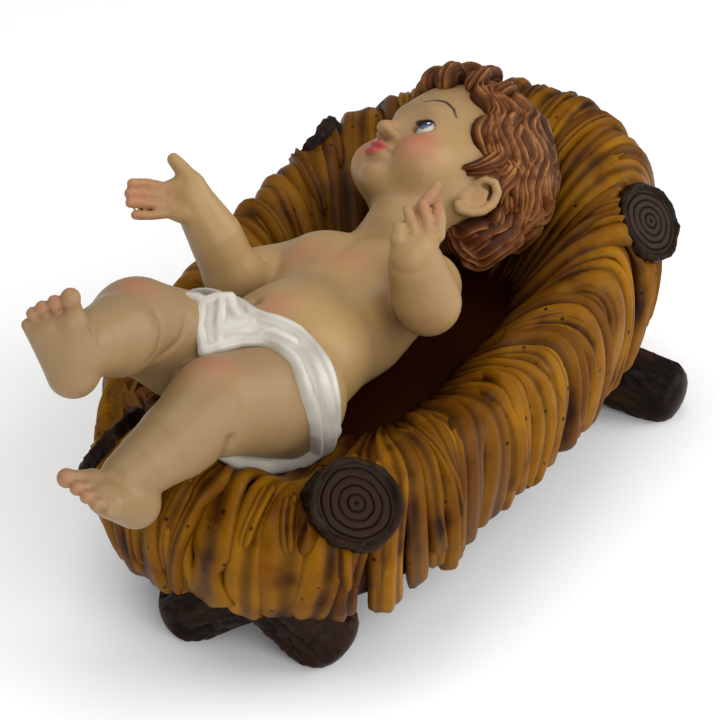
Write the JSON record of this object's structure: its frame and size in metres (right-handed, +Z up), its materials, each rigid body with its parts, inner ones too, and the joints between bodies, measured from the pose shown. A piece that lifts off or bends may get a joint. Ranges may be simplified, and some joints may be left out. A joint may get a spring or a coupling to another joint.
{
  "type": "infant figurine in a straw manger",
  "caption": "Hand-painted resin infant with curly hair and a knotted loincloth, lying with open arms in an oval straw manger on crossed log feet.",
  "frame": {"origin": "middle of the bounding box at the height of the flat undersides of the log feet", "axes": "+X along the manger towards the child's head, +Z up from the ground, -Y towards the child's left hand"},
  "size_m": [0.2088, 0.1122, 0.0925],
  "materials": {
    "painted_skin": "hand-painted skin on cast resin, soft satin varnish",
    "painted_straw": "hand-painted straw on cast resin, dark wash in the grooves, satin varnish"
  },
  "bodies": {
    "root": {"child": "painted_skin", "manger": "painted_straw"}
  },
  "joints": []
}
